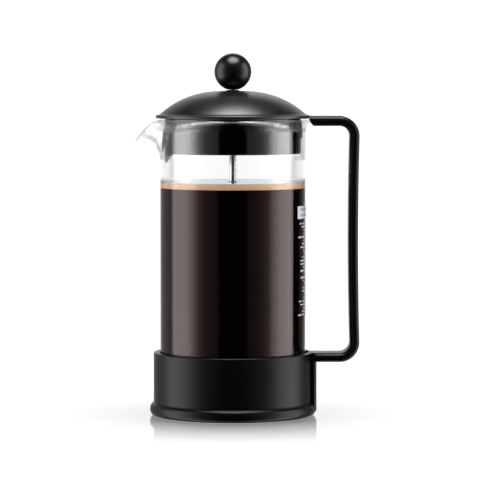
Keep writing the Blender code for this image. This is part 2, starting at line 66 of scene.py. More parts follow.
BEAKER_RADIUS, BEAKER_WALL = 48.0, 1.9
LIP_REACH, BEAKER_LOW, BEAKER_TOP = reach("glass_beaker")
_, _, BASE_TOP = reach("base_holder")
LID_REACH, LID_LOW, _ = reach("lid_dome")
PLATE_REACH, PLATE_LOW, PLATE_LIP = reach("spiral_plate")
MESH_REACH, MESH_LOW, MESH_TOP = reach("filter_mesh")
CROSS_REACH, CROSS_LOW, CROSS_TOP = reach("cross_plate")
SPRING_REACH, SPRING_LOW, SPRING_TOP = reach("rim_spring")
ROD_RADIUS, ROD_LOW, ROD_TOP = reach("plunger_rod")
INNER_RADIUS = BEAKER_RADIUS - BEAKER_WALL
print("beaker", BEAKER_LOW, "to", round(BEAKER_TOP, 1), "mm; base top", round(BASE_TOP, 1), "mm")


# %% [markdown]
# ## Node helpers
# Material, world and geometry trees are all built from the same few helpers. One places a node and
# fills its inputs, the others place the kinds that come up again and again. An input takes a number or
# another node's output.

# %% Small helpers for every node tree
def put(socket, value, tree):
    """Link an output to an input, or set the input's own value."""
    if isinstance(value, bpy.types.NodeSocket):
        tree.links.new(value, socket)
    else:
        socket.default_value = value


def add(tree, kind, inputs=None, **options):
    """Place a node, set its options, then fill its inputs by name or number."""
    made = tree.nodes.new(kind)
    for name, value in options.items():
        setattr(made, name, value)
    for key, value in (inputs or {}).items():
        put(made.inputs[key], value, tree)
    return made


def calc(tree, operation, *values):
    """One Math node; its output is returned."""
    made = add(tree, "ShaderNodeMath", operation=operation)
    for socket, value in zip(made.inputs, values):
        put(socket, value, tree)
    return made.outputs[0]


def xyz(tree, x=0.0, y=0.0, z=0.0):
    """A vector from three numbers."""
    return add(tree, "ShaderNodeCombineXYZ", {"X": x, "Y": y, "Z": z}).outputs[0]


def parts_of(tree, vector):
    """The three numbers of a vector."""
    return add(tree, "ShaderNodeSeparateXYZ", {"Vector": vector}).outputs


def polar(tree, radius, angle, height):
    """The point at a radius and an angle round the axis, and a height."""
    return xyz(tree, calc(tree, "MULTIPLY", radius, calc(tree, "COSINE", angle)),
               calc(tree, "MULTIPLY", radius, calc(tree, "SINE", angle)), height)


def times(tree, vector, factors):
    """A vector stretched along each axis."""
    return add(tree, "ShaderNodeVectorMath", {0: vector, 1: factors}, operation="MULTIPLY").outputs[0]


def object_place(tree):
    """Object coordinates."""
    return add(tree, "ShaderNodeTexCoord").outputs["Object"]


def between(tree, share, low, high):
    """A number between two numbers."""
    return add(tree, "ShaderNodeMix", {0: share, 2: low, 3: high}, data_type="FLOAT").outputs[0]


def blend(tree, share, low, high):
    """A colour between two colours."""
    ends = [end if isinstance(end, bpy.types.NodeSocket) else (*end, 1.0) for end in (low, high)]
    values = {"Factor": share, 6: ends[0], 7: ends[1]}
    return add(tree, "ShaderNodeMix", values, data_type="RGBA").outputs[2]


def bumped(tree, height, distance_mm, strength, **options):
    """A normal raised by a height."""
    values = {"Height": height, "Distance": distance_mm * MM, "Strength": strength}
    return add(tree, "ShaderNodeBump", values, **options).outputs[0]


def seen_directly(tree):
    """1 for rays that have not yet bounced off anything, except through glass."""
    path = add(tree, "ShaderNodeLightPath").outputs
    bounces = calc(tree, "ADD", path["Glossy Depth"], path["Diffuse Depth"])
    return path, calc(tree, "LESS_THAN", bounces, 0.5)


# %% [markdown]
# ## Mesh helpers
# Most of the press is turned or lofted. An outline is a few corners, each with its own fillet, because
# moulded and pressed edges are never sharp, and a sharp edge catches no light in a render.

# %% Outlines: corners with fillets, arcs and smooth curves
def arc(centre, radii, start, end, steps):
    """Points along an elliptic arc; angles in degrees."""
    points = []
    for i in range(steps + 1):
        angle = math.radians(start + (end - start) * i / steps)
        points.append((centre[0] + radii[0] * math.cos(angle), centre[1] + radii[1] * math.sin(angle)))
    return points


def filleted(corners, steps=5):
    """Closed outline from (x, y, fillet) corners."""
    outline = []
    count = len(corners)
    for i, (x, y, fillet) in enumerate(corners):
        if not fillet:
            outline.append((x, y))
            continue
        here = Vector((x, y))
        back = (Vector(corners[i - 1][:2]) - here).normalized()
        ahead = (Vector(corners[(i + 1) % count][:2]) - here).normalized()
        half = back.angle(ahead) / 2.0
        centre = here + (back + ahead).normalized() * fillet / math.sin(half)
        start = here + back * fillet / math.tan(half) - centre
        end = here + ahead * fillet / math.tan(half) - centre
        first = math.degrees(math.atan2(start.y, start.x))
        turn = (math.degrees(math.atan2(end.y, end.x)) - first + 180.0) % 360.0 - 180.0
        outline += arc(centre, (fillet, fillet), first, first + turn, steps)
    return outline


def curve_through(points, steps=4):
    """Smooth curve through all the points (Catmull-Rom)."""
    smooth = []
    padded = [points[0]] + list(points) + [points[-1]]
    for a, b, c, d in zip(padded, padded[1:], padded[2:], padded[3:]):
        for k in range(steps):
            t = k / steps
            smooth.append(tuple(0.5 * (2 * q + (r - p) * t + (2 * p - 5 * q + 4 * r - s) * t * t
                                       + (3 * q - p - 3 * r + s) * t ** 3)
                                for p, q, r, s in zip(a, b, c, d)))
    return smooth + [tuple(points[-1])]


# %% Solids: turned, lofted, combined
TINY = 1e-6
SMOOTH_ANGLE = math.radians(40.0)


def solid(name, bm, material, outward=True):
    """Scale a bmesh from millimetres, close its seams and make it an object."""
    bmesh.ops.scale(bm, vec=(MM, MM, MM), verts=bm.verts)
    bmesh.ops.remove_doubles(bm, verts=bm.verts, dist=TINY)
    if outward:
        bmesh.ops.recalc_face_normals(bm, faces=bm.faces)
    mesh = bpy.data.meshes.new(name)
    bm.to_mesh(mesh)
    bm.free()
    mesh.materials.append(material)
    mesh.shade_smooth()
    mesh.set_sharp_from_angle(angle=SMOOTH_ANGLE)
    piece = bpy.data.objects.new(name, mesh)
    bpy.context.scene.collection.objects.link(piece)
    return piece


def turned(name, outline, material, segments=180):
    """Spin a closed (radius, height) outline round the axis."""
    bm = bmesh.new()
    ring = [bm.verts.new((radius, 0.0, height)) for radius, height in outline]
    edges = []
    for first, second in zip(ring, ring[1:] + ring[:1]):
        if first.co.x > TINY or second.co.x > TINY:
            edges.append(bm.edges.new((first, second)))
    bmesh.ops.spin(bm, geom=ring + edges, cent=(0, 0, 0), axis=(0, 0, 1), dvec=(0, 0, 0),
                   angle=math.tau, steps=segments, use_merge=True)
    return solid(name, bm, material)


def lofted(rings, capped=False, open_outline=False):
    """Faces between rings of points; the last ring joins the first unless the loft is capped."""
    bm = bmesh.new()
    rows = [[bm.verts.new(point) for point in ring] for ring in rings]
    pairs = list(zip(rows, rows[1:]))
    if capped:
        bm.faces.new(rows[0])
        bm.faces.new(rows[-1])
    else:
        pairs.append((rows[-1], rows[0]))
    for row, following in pairs:
        for i in range(len(row) - 1 if open_outline else len(row)):
            j = (i + 1) % len(row)
            bm.faces.new((row[i], following[i], following[j], row[j]))
    return bm


def placed(outline, degrees):
    """An outline of (radius, height) set at an angle round the axis."""
    cosine, sine = math.cos(math.radians(degrees)), math.sin(math.radians(degrees))
    return [(radius * cosine, radius * sine, height) for radius, height in outline]


def arc_block(inner, outer, half_angle, low, high, steps=16):
    """A block between two radii, as wide as the angle says."""
    block = [(inner, low), (outer, low), (outer, high), (inner, high)]
    sweep = [placed(block, half_angle * (2.0 * i / steps - 1.0)) for i in range(steps + 1)]
    return lofted(sweep, capped=True)


def upright(shape, low, high):
    """A flat (x, y) shape carried from one height to another."""
    return lofted([[(x, y, height) for x, y in shape] for height in (low, high)], capped=True)


def settle(piece):
    """Turn a piece's modifiers into its plain mesh."""
    bpy.context.view_layer.update()
    result = piece.evaluated_get(bpy.context.evaluated_depsgraph_get())
    mesh = bpy.data.meshes.new_from_object(result)
    piece.modifiers.clear()
    piece.data = mesh
    return piece


def combine(piece, tool, operation):
    """Join another solid on, or cut it out; the tool is used up."""
    step = piece.modifiers.new(operation.lower(), "BOOLEAN")
    step.operation = operation
    step.solver = "EXACT"
    step.object = tool
    settle(piece)
    bpy.data.objects.remove(tool, do_unlink=True)
    piece.data.shade_smooth()
    piece.data.set_sharp_from_angle(angle=SMOOTH_ANGLE)


def soften(piece, width, segments=2, angle=50.0):
    """Round the edges that are sharper than an angle."""
    step = piece.modifiers.new("soft edges", "BEVEL")
    step.width = width * MM
    step.segments = segments
    step.limit_method = "ANGLE"
    step.angle_limit = math.radians(angle)
    settle(piece)
    piece.data.shade_smooth()
    piece.data.set_sharp_from_angle(angle=SMOOTH_ANGLE)


def report(piece):
    """Print a piece's triangle count."""
    print(f"{piece.name}: {sum(len(face.vertices) - 2 for face in piece.data.polygons)} triangles")


# %% [markdown]
# ## Geometry Nodes: one tree for everything that repeats round the axis
# Ribs, pouring slots and pressed holes are all one shape repeated round the beaker's axis. The tree
# takes that one shape, puts a copy on each of Count points at the axis, and turns each copy by its
# index. Realize Instances and Set Material end it, so the result is a plain mesh.

# %% Build the ring-of-copies tree
def start_tree(name, sockets):
    """A Geometry Nodes group with named inputs: (label, socket type, value)."""
    tree = bpy.data.node_groups.new(name, "GeometryNodeTree")
    tree.interface.new_socket("Geometry", in_out="INPUT", socket_type="NodeSocketGeometry")
    for label, kind, value in sockets:
        socket = tree.interface.new_socket(label, in_out="INPUT", socket_type="NodeSocket" + kind)
        if value is not None:
            socket.default_value = value
    tree.interface.new_socket("Geometry", in_out="OUTPUT", socket_type="NodeSocketGeometry")
    return tree, tree.nodes.new("NodeGroupInput").outputs


def end_tree(tree, geometry, material):
    """Realize the copies, give them their material and end the tree."""
    real = add(tree, "GeometryNodeRealizeInstances", {"Geometry": geometry}).outputs[0]
    values = {"Geometry": real, "Material": material}
    dressed = add(tree, "GeometryNodeSetMaterial", values).outputs[0]
    add(tree, "NodeGroupOutput", {"Geometry": dressed})


def grow(name, start, tree, values):
    """Run a tree on a starting mesh and keep the result as a plain mesh."""
    piece = bpy.data.objects.new(name, start)
    bpy.context.scene.collection.objects.link(piece)
    step = piece.modifiers.new(tree.name, "NODES")
    step.node_group = tree
    for item in tree.interface.items_tree:
        if item.in_out == "INPUT" and item.name in values:
            step[item.identifier] = values[item.name]
    return settle(piece)


ring_tree, given = start_tree("ring of copies", [
    ("Count", "Int", 6), ("First Angle", "Float", 0.0), ("Step Angle", "Float", 60.0),
    ("Material", "Material", None)])
points = add(ring_tree, "GeometryNodePoints", {"Count": given["Count"]}).outputs[0]
index = add(ring_tree, "GeometryNodeInputIndex").outputs[0]
degrees = calc(ring_tree, "MULTIPLY_ADD", index, given["Step Angle"], given["First Angle"])
turn = xyz(ring_tree, z=calc(ring_tree, "RADIANS", degrees))
copies = add(ring_tree, "GeometryNodeInstanceOnPoints",
             {"Points": points, "Instance": given["Geometry"], "Rotation": turn}).outputs[0]
end_tree(ring_tree, copies, given["Material"])


def ring_of(name, shape, count, first=0.0, step=None):
    """Copies of a shape round the axis, as one piece; the shape is used up."""
    values = {"Count": count, "First Angle": first, "Step Angle": step or 360.0 / count,
              "Material": shape.data.materials[0]}
    piece = grow(name, shape.data, ring_tree, values)
    bpy.data.objects.remove(shape, do_unlink=True)
    return piece


print("ring tree has", len(ring_tree.nodes), "nodes")

# %% [markdown]
# ## Finishes: effects that several materials share
# Moulded plastic is never one even gloss. The tool's skin leaves a fine grain, and hands leave broad
# patches that are a little duller. Both are one group, so every plastic piece takes them with its own
# values. Metal that was drawn or spun has fine lines instead, so it has a group of its own.

# %% Group: moulded skin
def start_group(name, inputs, outputs):
    """A shader group with named inputs (label, value) and outputs (label, type)."""
    group = bpy.data.node_groups.new(name, "ShaderNodeTree")
    for label, value in inputs:
        socket = group.interface.new_socket(label, in_out="INPUT", socket_type="NodeSocketFloat")
        socket.default_value = value
    for label, kind in outputs:
        group.interface.new_socket(label, in_out="OUTPUT", socket_type="NodeSocket" + kind)
    return group, group.nodes.new("NodeGroupInput").outputs


def noise(tree, size_mm, place, detail=3.0, roughness=0.5):
    """Noise whose features are about size_mm across."""
    values = {"Vector": place, "Scale": 1.0 / (size_mm * MM), "Detail": detail, "Roughness": roughness}
    return add(tree, "ShaderNodeTexNoise", values).outputs["Fac"]


def spread(tree, value, low, high, from_low=0.3, from_high=0.7, **options):
    """Stretch a value onto a range, clamped."""
    values = {"Value": value, "From Min": from_low, "From Max": from_high, "To Min": low, "To Max": high}
    return add(tree, "ShaderNodeMapRange", values, **options).outputs[0]


skin, given = start_group("moulded skin", [("Roughness", 0.3), ("Patchiness", 0.05), ("Grain", 0.5)],
                          [("Roughness", "Float"), ("Height", "Float"), ("Dust", "Float")])
place = object_place(skin)
patches = spread(skin, noise(skin, 22.0, place, 4.0, 0.6), -0.5, 1.0)
fine = noise(skin, 0.35, place, 2.0)
rough = calc(skin, "MULTIPLY_ADD", patches, given["Patchiness"], given["Roughness"])
dust = spread(skin, noise(skin, 1.1, place, 5.0, 0.75), 0.0, 1.0, 0.62, 0.8)
height = calc(skin, "MULTIPLY", fine, given["Grain"])
add(skin, "NodeGroupOutput", {"Roughness": rough, "Height": height, "Dust": dust})

# %% Group: drawn metal
drawn, given = start_group(
    "drawn metal", [("Roughness", 0.2), ("Lines Across", 1.0), ("Lines Along", 1.0)],
    [("Roughness", "Float"), ("Height", "Float"), ("Tone", "Float")])
place = object_place(drawn)
along = xyz(drawn, given["Lines Across"], given["Lines Across"], given["Lines Along"])
stretched = times(drawn, place, along)
lines = noise(drawn, 1.0, stretched, 4.0, 0.6)
smears = noise(drawn, 9.0, place, 3.0)
rough = calc(drawn, "ADD", given["Roughness"], spread(drawn, lines, -0.04, 0.08))
rough = calc(drawn, "ADD", rough, spread(drawn, smears, -0.02, 0.05))
tone = spread(drawn, lines, 0.88, 1.0)
add(drawn, "NodeGroupOutput", {"Roughness": rough, "Height": lines, "Tone": tone})


# %% [markdown]
# ## The materials themselves
# The base and handle are one satin black; the lid is a little duller, and the strainer inside the glass
# is polished, which is why the studio's panels show in it with sharp edges.

# %% Black plastics
def shader_of(name, **plain):
    """A new material with a Principled shader and plain values on its sockets."""
    material = bpy.data.materials.new(name)
    material.use_nodes = True
    shader = material.node_tree.nodes["Principled BSDF"]
    for label, value in plain.items():
        shader.inputs[label.replace("_", " ")].default_value = value
    return material, material.node_tree, shader


def dress(shader, tree, colour, roughness, normal):
    """Give a Principled shader its varying colour, roughness and normal."""
    for label, value in (("Base Color", colour), ("Roughness", roughness), ("Normal", normal)):
        put(shader.inputs[label], value, tree)


def plastic(name, colour, roughness, patchiness, grain, grain_depth, ior=1.5, dust_tone=0.004):
    """Moulded black plastic with a fine grain, dull patches and a trace of dust."""
    material, tree, shader = shader_of(name, IOR=ior)
    effect = add(tree, "ShaderNodeGroup", node_tree=skin)
    for label, value in (("Roughness", roughness), ("Patchiness", patchiness), ("Grain", grain)):
        effect.inputs[label].default_value = value
    dusty = tuple(channel + dust_tone for channel in colour)
    tone = blend(tree, effect.outputs["Dust"], colour, dusty)
    bump = bumped(tree, effect.outputs["Height"], grain_depth, 0.6)
    dress(shader, tree, tone, effect.outputs["Roughness"], bump)
    return material


BLACK, DEEP_BLACK, POLISH_BLACK = (0.0008,) * 3, (0.0006,) * 3, (0.0004,) * 3
satin_black = plastic("satin_black", DEEP_BLACK, 0.33, 0.04, 1.0, 0.02, 1.33, 0.002)
lid_black = plastic("lid_black", BLACK, 0.31, 0.03, 0.8, 0.015, 1.62, 0.002)
knob_black = plastic("knob_black", BLACK, 0.28, 0.04, 0.6, 0.012, 1.42, 0.002)
polished_black = plastic("polished_black", POLISH_BLACK, 0.06, 0.02, 0.2, 0.002, 1.8, 0.0005)
bearing_black = plastic("bearing_black", (0.006, 0.006, 0.006), 0.45, 0.05, 1.0, 0.02)
print("five black plastics")


# %% Metals
def metal(name, colour, roughness, across, along, depth):
    """Bright metal with fine lines; across and along stretch them."""
    material, tree, shader = shader_of(name, Metallic=1.0)
    effect = add(tree, "ShaderNodeGroup", node_tree=drawn)
    for label, value in (("Roughness", roughness), ("Lines Across", across), ("Lines Along", along)):
        effect.inputs[label].default_value = value
    dark = tuple(channel * 0.8 for channel in colour)
    tone = blend(tree, effect.outputs["Tone"], dark, colour)
    bump = bumped(tree, effect.outputs["Height"], depth, 0.5)
    dress(shader, tree, tone, effect.outputs["Roughness"], bump)
    return material


rod_steel = metal("rod_steel", (0.8, 0.8, 0.81), 0.22, 9.0, 0.4, 0.002)
plate_steel = metal("plate_steel", (0.64, 0.64, 0.65), 0.2, 2.0, 2.0, 0.006)
spring_steel = metal("spring_steel", (0.58, 0.58, 0.59), 0.22, 3.0, 3.0, 0.004)
brass = metal("insert_brass", (0.78, 0.57, 0.26), 0.28, 0.6, 6.0, 0.006)

# %% [markdown]
# The screen is woven from wire too fine to model one by one: about four wires to the millimetre. Two
# wave patterns at right angles, each one's crests over the other's troughs, give the over-and-under.
# Its colour carries painted shade: dark in the gaps between wires and where one wire passes under another.

# %% Woven screen
screen_steel, tree, shader = shader_of("screen_steel", Metallic=1.0)
WIRE_PITCH = 0.5
axes = parts_of(tree, object_place(tree))
waves = []
for axis in (0, 1):
    phase = calc(tree, "MULTIPLY", axes[axis], math.pi / (WIRE_PITCH * MM))
    waves.append((calc(tree, "SINE", phase), calc(tree, "ABSOLUTE", calc(tree, "COSINE", phase))))
over = calc(tree, "MULTIPLY", waves[0][0], waves[1][0])
warp = calc(tree, "MULTIPLY_ADD", over, 0.5, waves[0][1])
weft = calc(tree, "MULTIPLY_ADD", over, -0.5, waves[1][1])
weave = calc(tree, "MAXIMUM", warp, weft)
# Painted shade: the colour turns dark where the weave is low, in the gaps and under the crossings.
shade = spread(tree, weave, 0.0, 1.0, 0.5, 1.3)
tone = blend(tree, shade, (0.09, 0.09, 0.095), (0.62, 0.62, 0.63))
dull = spread(tree, weave, 0.5, 0.25, 0.5, 1.3)
dress(shader, tree, tone, dull, bumped(tree, weave, 0.15, 0.9))

# %% [markdown]
# Clear glass is a plain transmitting shader: its look comes from its thickness and from what is behind
# it. Very broad, very shallow waves in its surface are what drawn tube has, and keep its highlights
# from looking ruled.

# %% Glass
clear_glass, tree, shader = shader_of("clear_glass", IOR=1.47, Metallic=0.0, Roughness=0.0)
shader.inputs["Transmission Weight"].default_value = 1.0
shader.inputs["Base Color"].default_value = (0.985, 0.992, 0.99, 1.0)
place = object_place(tree)
slow = times(tree, place, (1.0, 1.0, 0.35))
put(shader.inputs["Normal"], bumped(tree, noise(tree, 30.0, slow, 1.0), 0.1, 0.15), tree)

# %% [markdown]
# Above the coffee nothing dark stands behind the glass, so its edges and its beak stay light: where it
# is seen edge on, part of it lets the white behind come straight through. The lip in front of the
# black strainer lets that through in the same way, and only keeps a thin shine of its own.

# %% Light edges above the coffee
CLEAR_FROM, CLEAR_TO = 153.0, 157.0         # heights over which the edges turn light
SKIRT_FROM, SKIRT_TO = 168.0, 172.0         # and end again below the strainer
BEAK_ROOT, BEAK_CLEAR = -49.0, -50.5        # x over which the beak turns light
LIP_FROM, LIP_TO, LIP_SHARE = 187.0, 190.0, 0.7
edge_on = add(tree, "ShaderNodeLayerWeight", {"Blend": 0.5}).outputs["Facing"]
edge_share = spread(tree, edge_on, 0.0, 0.85, 0.1, 0.6)
where = parts_of(tree, place)
above = spread(tree, where[2], 0.0, 1.0, CLEAR_FROM * MM, CLEAR_TO * MM)
below_skirt = spread(tree, where[2], 1.0, 0.0, SKIRT_FROM * MM, SKIRT_TO * MM)
on_beak = spread(tree, where[0], 1.0, 0.0, BEAK_CLEAR * MM, BEAK_ROOT * MM)
above = calc(tree, "MULTIPLY", above, calc(tree, "MAXIMUM", below_skirt, on_beak))
on_lip = spread(tree, where[2], 0.0, LIP_SHARE, LIP_FROM * MM, LIP_TO * MM)
share = calc(tree, "MAXIMUM", calc(tree, "MULTIPLY", edge_share, above), on_lip)
put(shader.inputs["Alpha"], calc(tree, "SUBTRACT", 1.0, share), tree)

# %% [markdown]
# ## Coffee and foam
# Black coffee in a beaker this wide lets no light through. It meets the glass without air, so it adds
# only a soft brown sheen to the glass's own reflections. The foam is pale and full of bubbles, with a
# wet film on it that turns almost white where one looks along it.

# %% Coffee and foam materials
coffee_brown, tree, shader = shader_of(
    "coffee_brown", IOR=1.34, Roughness=0.2, Specular_IOR_Level=0.35, Specular_Tint=(1.0, 0.12, 0.08, 1.0))
cloud = spread(tree, noise(tree, 35.0, object_place(tree), 3.0), 0.0, 1.0)
tone = blend(tree, cloud, (0.0011, 0.0001, 0.0), (0.0018, 0.0002, 0.0001))
put(shader.inputs["Base Color"], tone, tree)

foam_tan, tree, shader = shader_of(
    "foam_tan", IOR=1.34, Coat_Weight=1.0, Coat_Roughness=0.04, Coat_IOR=1.6)
place = object_place(tree)
cells, small_cells = [
    add(tree, "ShaderNodeTexVoronoi", {"Vector": place, "Scale": 1.0 / (size * MM)}).outputs["Distance"]
    for size in (0.9, 0.35)]
froth = calc(tree, "MULTIPLY_ADD", small_cells, 0.4, cells)
streaks = spread(tree, noise(tree, 7.0, place, 5.0, 0.65), 0.0, 1.0, 0.35, 0.65)
light = blend(tree, streaks, (0.72, 0.44, 0.28), (0.86, 0.56, 0.37))
tone = blend(tree, spread(tree, froth, 0.0, 0.35, 0.5, 1.1), light, (0.58, 0.32, 0.18))
bump = bumped(tree, froth, 0.3, 0.5, invert=True)
dress(shader, tree, tone, spread(tree, froth, 0.4, 0.75), bump)


# %% [markdown]
# ## The beaker
# A lathe alone can't make the pouring beak, so the outer surface is a loft: at each angle round the
# axis the same ten control points stand on the wall's outline, and a bell-shaped weight moves them
# towards the beak's own outline. The rim dips later than it reaches out, which gives the beak its
# pinched, drooping tip. Solidify gives the wall inwards and a bevel fire-polishes the lip.

# %% Shape of the rim and the beak
RIM = [(48.0, 162.0), (48.0, 167.0), (48.0, 170.5), (48.0, 174.0), (48.0, 177.5),
       (48.0, 181.5), (48.0, 186.0), (48.5, 189.1), (49.6, 191.8), (LIP_REACH, 193.9)]
BEAK = [(48.0, 162.0), (48.0, 167.0), (48.2, 170.5), (49.3, 174.0), (51.6, 177.5),
        (55.2, 180.9), (58.6, 182.2), (60.9, 182.0), (62.6, 181.2), (63.7, 180.0)]
BEAK_HALF_ANGLES = (15.0, 27.0)     # at its root and at its open top
FIRST_BEAK_POINT = 2
BEAK_DROOP = 1.75


def bell(distance, half_width):
    """1 in the middle, easing to 0 at the half width."""
    if distance >= half_width:
        return 0.0
    return 0.5 + 0.5 * math.cos(math.pi * distance / half_width)


def off_beak(degrees):
    """Angle between a direction and the beak, -X."""
    return abs(degrees % 360.0 - 180.0)


def beaker_outline(degrees):
    """Outer surface from the middle of the bottom to the lip."""
    corner = 8.0
    outline = [(0.0, BEAKER_LOW), (20.0, BEAKER_LOW)]
    outline += arc((BEAKER_RADIUS - corner, BEAKER_LOW + corner), (corner, corner), -90.0, 0.0, 10)
    outline += [(BEAKER_RADIUS, height) for height in (60.0, 95.0, 130.0, 152.0)]
    upper = []
    for i, (wall, beak) in enumerate(zip(RIM, BEAK)):
        climb = max(0.0, (i - FIRST_BEAK_POINT) / (len(RIM) - 1 - FIRST_BEAK_POINT))
        root, top = BEAK_HALF_ANGLES
        weight = bell(off_beak(degrees), root + (top - root) * climb)
        upper.append((wall[0] + (beak[0] - wall[0]) * weight,
                      wall[1] + (beak[1] - wall[1]) * weight ** BEAK_DROOP))
    return outline + curve_through(upper)


# %% Loft the beaker
angles = []
for quarter_degrees in range(0, 1440, 10):
    degrees = quarter_degrees / 4.0
    angles.append(degrees)
    if off_beak(degrees + 1.25) < BEAK_HALF_ANGLES[1] + 2.0:
        angles.append(degrees + 1.25)
surface = lofted([placed(beaker_outline(degrees), degrees) for degrees in angles], open_outline=True)
beaker = solid("beaker_glass", surface, clear_glass, outward=False)
wall = beaker.modifiers.new("wall", "SOLIDIFY")
wall.thickness = BEAKER_WALL * MM
wall.offset = -1.0
wall.use_even_offset = True
settle(beaker)
soften(beaker, 0.8, 4, 60.0)
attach(beaker, "root")
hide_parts("glass_beaker")
report(beaker)

# %% [markdown]
# ## What is in the beaker
# The coffee overlaps the glass by a few hundredths of a millimetre. Liquid wets glass, and with even
# the thinnest gap of air between them the render would show a silver skin there.

# %% Coffee and foam
WETTING = 0.05
FOAM_LOW, FOAM_TOP = 150.2, 154.2
wet_radius = INNER_RADIUS + WETTING
floor_height = BEAKER_LOW + BEAKER_WALL - WETTING
corner = 6.1
outline = [(0.0, floor_height)]
outline += arc((wet_radius - corner, floor_height + corner), (corner, corner), -90.0, 0.0, 8)
outline += [(wet_radius, height) for height in (60.0, 100.0, FOAM_LOW)] + [(0.0, FOAM_LOW)]
coffee = turned("coffee", outline, coffee_brown)
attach(coffee, "root")

outline = [(0.0, FOAM_LOW + 0.02), (wet_radius, FOAM_LOW + 0.02), (wet_radius, FOAM_TOP + 0.12)]
outline += curve_through([(wet_radius - 0.2, FOAM_TOP + 0.08), (wet_radius - 0.8, FOAM_TOP + 0.02),
                          (wet_radius - 2.0, FOAM_TOP), (30.0, FOAM_TOP), (8.0, FOAM_TOP),
                          (ROD_RADIUS + 0.8, FOAM_TOP + 0.1), (ROD_RADIUS, FOAM_TOP + 0.5)], 3)
outline += [(0.0, FOAM_TOP + 0.5)]
foam = turned("foam", outline, foam_tan)
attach(foam, "root")

# %% [markdown]
# Bubbles gather along the glass and round the rod. Each is a tiny sphere of a few dozen faces; the tree
# scatters them in a ring with a fixed seed, smaller ones far more often than large ones.

# %% Bubbles on the foam
tree, given = start_tree("ring of bubbles", [
    ("Count", "Int", 200), ("Ring Radius", "Float", 0.045), ("Ring Width", "Float", 0.002),
    ("Height", "Float", 0.154), ("Bubble Radius", "Float", 0.0006), ("Seed", "Int", 3),
    ("Material", "Material", None)])


def chance(tree, low, high, seed, number=None):
    """A random number for each point, or for each value of a number."""
    values = {2: low, 3: high, "Seed": seed}
    if number is not None:
        values["ID"] = number
    return add(tree, "FunctionNodeRandomValue", values, data_type="FLOAT").outputs[1]


seeds = [calc(tree, "ADD", given["Seed"], offset) for offset in (1, 2, 3)]
turn = chance(tree, 0.0, math.tau, seeds[0])
inward = calc(tree, "POWER", chance(tree, 0.0, 1.0, seeds[1]), 2.0)
inward = calc(tree, "MULTIPLY", inward, given["Ring Width"])
radius = calc(tree, "SUBTRACT", given["Ring Radius"], inward)
position = polar(tree, radius, turn, given["Height"])
values = {"Count": given["Count"], "Position": position}
points = add(tree, "GeometryNodePoints", values).outputs[0]
values = {"Radius": given["Bubble Radius"], "Subdivisions": 2}
ball = add(tree, "GeometryNodeMeshIcoSphere", values).outputs[0]
ball = add(tree, "GeometryNodeSetShadeSmooth", {"Geometry": ball}).outputs[0]
size = calc(tree, "POWER", chance(tree, 0.0, 1.0, seeds[2]), 3.0)
values = {"Points": points, "Instance": ball, "Scale": calc(tree, "ADD", size, 0.35)}
bubbles = add(tree, "GeometryNodeInstanceOnPoints", values).outputs[0]
end_tree(tree, bubbles, given["Material"])
bubble_tree = tree

BUBBLE_HEIGHT = (FOAM_TOP - 0.2) * MM
wall_bubbles = grow("foam_bubbles_wall", bpy.data.meshes.new("wall bubbles"), bubble_tree, {
    "Count": 420, "Ring Radius": 45.7 * MM, "Ring Width": 2.6 * MM, "Height": BUBBLE_HEIGHT,
    "Bubble Radius": 0.3 * MM, "Seed": 4, "Material": foam_tan})
rod_bubbles = grow("foam_bubbles_rod", bpy.data.meshes.new("rod bubbles"), bubble_tree, {
    "Count": 60, "Ring Radius": 5.5 * MM, "Ring Width": 2.8 * MM, "Height": BUBBLE_HEIGHT,
    "Bubble Radius": 0.4 * MM, "Seed": 9, "Material": foam_tan})
for piece in (wall_bubbles, rod_bubbles):
    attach(piece, "root")
    report(piece)

# %% [markdown]
# ## The print on the glass
# Beside the handle the glass carries a printed block of care notes. Here it is greeked: a pale header
# patch and rows of short bars with word gaps, none of them letters. The tree numbers its points, turns
# the number into a row and a column, wraps the column round the glass, and drops the bars that fall
# past the end of each row's own random length.

# %% Printed rows
def ink(name, size_mm, low, high):
    """Matt ink that covers a little unevenly."""
    material, tree, shader = shader_of(name, Roughness=0.5)
    cover = spread(tree, noise(tree, size_mm, object_place(tree), 3.0), 0.0, 1.0)
    put(shader.inputs["Base Color"], blend(tree, cover, low, high), tree)
    return material


ink_white = ink("ink_white", 0.8, (0.40, 0.38, 0.43), (0.54, 0.52, 0.58))
ink_grey = ink("ink_grey", 0.6, (0.16, 0.17, 0.22), (0.25, 0.26, 0.32))

tree, given = start_tree("printed rows", [
    ("Rows", "Int", 20), ("Columns", "Int", 40), ("Radius", "Float", 0.048), ("Top", "Float", 0.127),
    ("Row Pitch", "Float", 0.0031), ("Column Pitch", "Float", 0.0011), ("Bar Height", "Float", 0.0013),
    ("Ink", "Float", 0.00005), ("Shortest Row", "Float", 0.5), ("Blank Rows", "Float", 0.22),
    ("Seed", "Int", 7), ("Material", "Material", None)])
GAP_SHARE, BAR_SHARE, SHORTEST_BAR = 0.1, 0.8, 0.55
index = add(tree, "GeometryNodeInputIndex").outputs[0]
column = calc(tree, "MODULO", index, given["Columns"])
row = calc(tree, "FLOOR", calc(tree, "DIVIDE", index, given["Columns"]))
middle = calc(tree, "MULTIPLY", calc(tree, "SUBTRACT", given["Columns"], 1.0), 0.5)
across = calc(tree, "MULTIPLY", calc(tree, "SUBTRACT", column, middle), given["Column Pitch"])
angle = calc(tree, "DIVIDE", across, given["Radius"])
drop = calc(tree, "MULTIPLY", row, given["Row Pitch"])
position = polar(tree, given["Radius"], angle, calc(tree, "SUBTRACT", given["Top"], drop))
count = calc(tree, "MULTIPLY", given["Rows"], given["Columns"])
points = add(tree, "GeometryNodePoints", {"Count": count, "Position": position}).outputs[0]
row_length = chance(tree, given["Shortest Row"], 1.0, given["Seed"], row)
limit = calc(tree, "MULTIPLY", row_length, middle)
limit = calc(tree, "MULTIPLY", limit, given["Column Pitch"])
past_end = calc(tree, "GREATER_THAN", calc(tree, "ABSOLUTE", across), limit)
